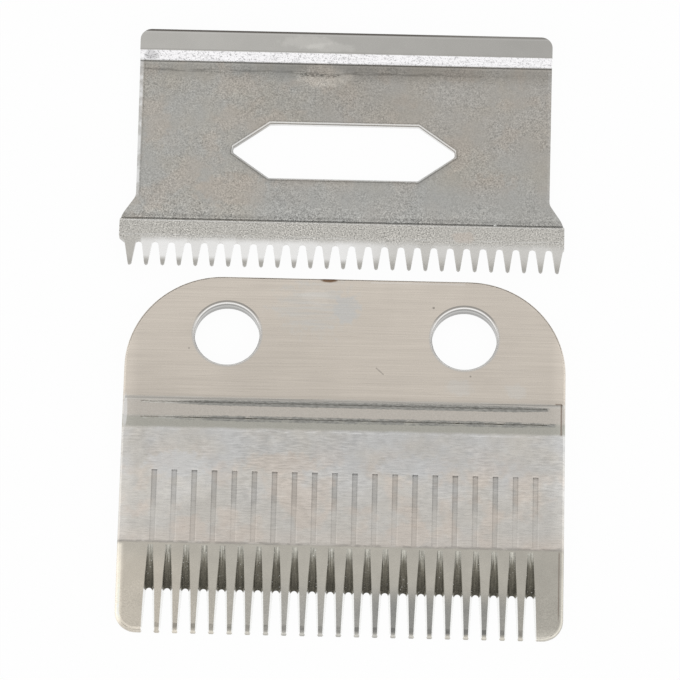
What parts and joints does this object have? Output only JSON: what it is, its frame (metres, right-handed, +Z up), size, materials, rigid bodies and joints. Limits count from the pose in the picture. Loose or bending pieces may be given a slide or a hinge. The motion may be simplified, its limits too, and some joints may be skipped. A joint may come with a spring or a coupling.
{
  "type": "hair clipper blade set",
  "caption": "Steel clipper blade set laid apart: a fixed toothed plate with screw holes, and a formed cutter plate with finer teeth and a hexagonal drive slot.",
  "frame": {"origin": "on the table the set lies on, under the middle of the box of both blades", "axes": "+X along the tooth rows, +Y from the tooth tips to the rear edges, +Z up out of the table"},
  "size_m": [0.0472, 0.0672, 0.0017],
  "materials": {
    "fixed_steel": "ground and brushed, satin",
    "cutter_steel": "pickled sheet with ground lands, satin"
  },
  "bodies": {
    "root": {"fixed_blade": "fixed_steel", "cutter_blade": "cutter_steel"}
  },
  "joints": []
}
